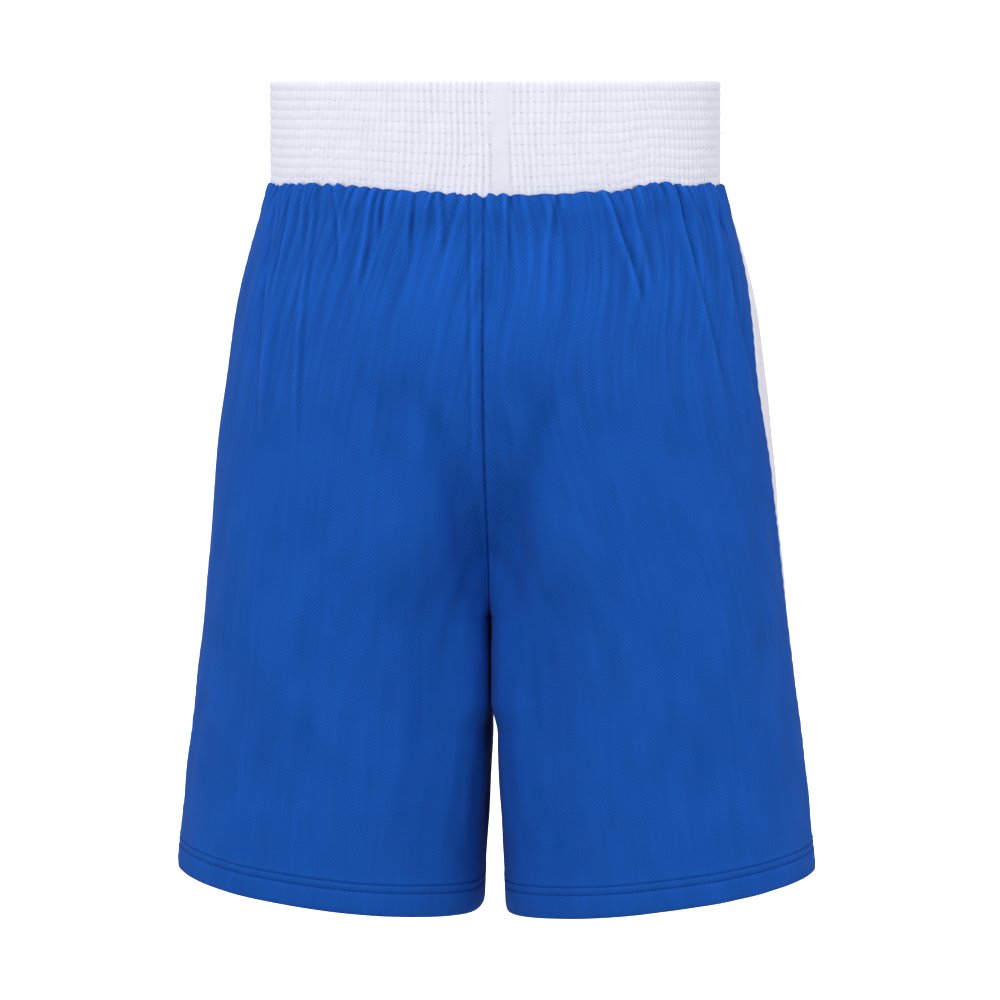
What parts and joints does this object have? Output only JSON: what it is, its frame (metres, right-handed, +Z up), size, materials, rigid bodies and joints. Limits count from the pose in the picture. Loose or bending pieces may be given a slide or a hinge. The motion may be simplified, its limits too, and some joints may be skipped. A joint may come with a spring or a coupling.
{
  "type": "boxing shorts",
  "caption": "Loose boxing shorts with a wide white quilted elastic waistband, blue mesh legs gathered into it, white side stripes and turned hems.",
  "frame": {"origin": "centre of the waist opening, level with the waistband's top rim", "axes": "+Z up towards the waist, the wearer faces -Y (the shorts' back is at +Y), +X is the wearer's left"},
  "size_m": [0.417, 0.2398, 0.5444],
  "materials": {
    "white_cloth": "woven polyester, matt",
    "lining_cloth": "woven polyester, matt",
    "elastic_webbing": "ribbed webbing",
    "white_thread": "polyester thread",
    "blue_mesh": "birdseye knitted polyester, slight sheen",
    "blue_thread": "polyester thread",
    "label_satin": "woven satin, blank"
  },
  "bodies": {
    "hips": {"band_join_allowance": "white_cloth", "band_join_stitching": "white_thread", "centre_back_seam": "blue_mesh", "centre_front_seam": "blue_mesh", "left_back_panel_seat": "blue_mesh", "left_back_side_seam_seat": "blue_mesh", "left_front_panel_seat": "blue_mesh", "left_front_side_seam_seat": "blue_mesh", "left_inseam_seat": "blue_mesh", "left_side_stripe_seat": "white_cloth", "right_back_panel_seat": "blue_mesh", "right_back_side_seam_seat": "blue_mesh", "right_front_panel_seat": "blue_mesh", "right_front_side_seam_seat": "blue_mesh", "right_inseam_seat": "blue_mesh", "right_side_stripe_seat": "white_cloth", "size_label": "label_satin", "waist_overlock_thread": "white_thread", "waist_seam_allowance": "blue_mesh", "waistband_elastic": "elastic_webbing", "waistband_lining": "lining_cloth", "waistband_outer": "white_cloth", "waistband_stitching": "white_thread"},
    "left_leg": {"left_back_panel_leg": "blue_mesh", "left_back_side_seam_leg": "blue_mesh", "left_front_panel_leg": "blue_mesh", "left_front_side_seam_leg": "blue_mesh", "left_hem_stitching": "blue_thread", "left_hem_turn": "blue_mesh", "left_inseam_leg": "blue_mesh", "left_side_stripe_leg": "white_cloth"},
    "right_leg": {"right_back_panel_leg": "blue_mesh", "right_back_side_seam_leg": "blue_mesh", "right_front_panel_leg": "blue_mesh", "right_front_side_seam_leg": "blue_mesh", "right_hem_stitching": "blue_thread", "right_hem_turn": "blue_mesh", "right_inseam_leg": "blue_mesh", "right_side_stripe_leg": "white_cloth"}
  },
  "joints": [
    {"name": "left_hip", "type": "hinge", "parent": "hips", "child": "left_leg", "pos_m": [0, 0, -0.249], "axis": [-1, 0, 0], "range_deg": [-20, 50]},
    {"name": "right_hip", "type": "hinge", "parent": "hips", "child": "right_leg", "pos_m": [0, 0, -0.249], "axis": [-1, 0, 0], "range_deg": [-20, 50]}
  ]
}
